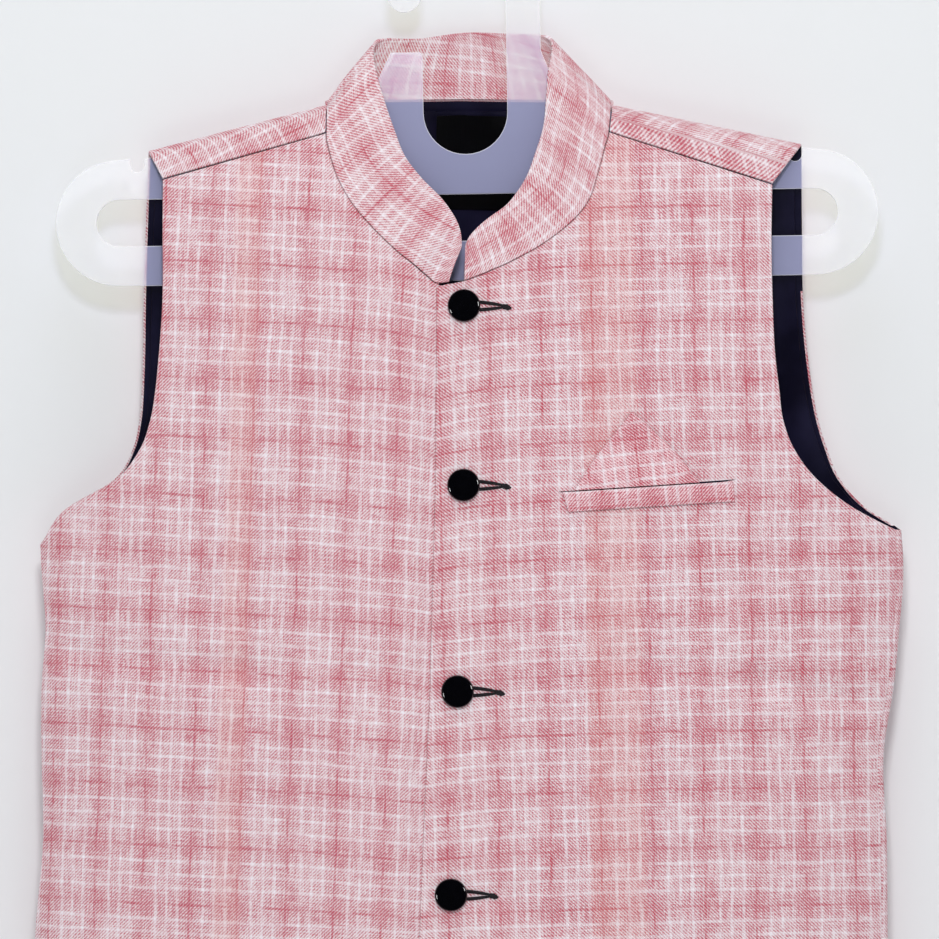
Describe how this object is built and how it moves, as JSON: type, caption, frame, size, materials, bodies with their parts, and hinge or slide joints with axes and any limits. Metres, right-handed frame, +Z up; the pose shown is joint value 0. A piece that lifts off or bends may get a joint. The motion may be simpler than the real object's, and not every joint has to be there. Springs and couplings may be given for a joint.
{
  "type": "nehru jacket on a hanger",
  "caption": "Sleeveless stand-collar jacket in checked melange cloth, buttoned at the front, with a welt chest pocket and a pocket square, on a flat plastic hanger.",
  "frame": {"origin": "seat of the hanger's hook: the top of the inside of the hook, on the middle of the plate", "axes": "+Z up, +X towards the wearer's left, the front of the jacket faces -Y"},
  "size_m": [0.5274, 0.0617, 0.8168],
  "materials": {
    "jacket_cloth": "melange twill with a fine white and red check, matt with a faint sheen",
    "lining_satin": "black satin lining",
    "label_satin": "plain black woven label",
    "button_black": "gloss black polyester",
    "hanger_plastic": "frosted translucent polypropylene"
  },
  "bodies": {
    "root": {"hanger": "hanger_plastic", "back": "jacket_cloth", "front_right": "jacket_cloth", "front_left": "jacket_cloth", "collar": "jacket_cloth", "lining_back": "lining_satin", "neck_label": "label_satin", "welt": "jacket_cloth", "pocket_square": "jacket_cloth", "button_1": "button_black", "button_2": "button_black", "button_3": "button_black", "button_4": "button_black", "button_5": "button_black"}
  },
  "joints": []
}
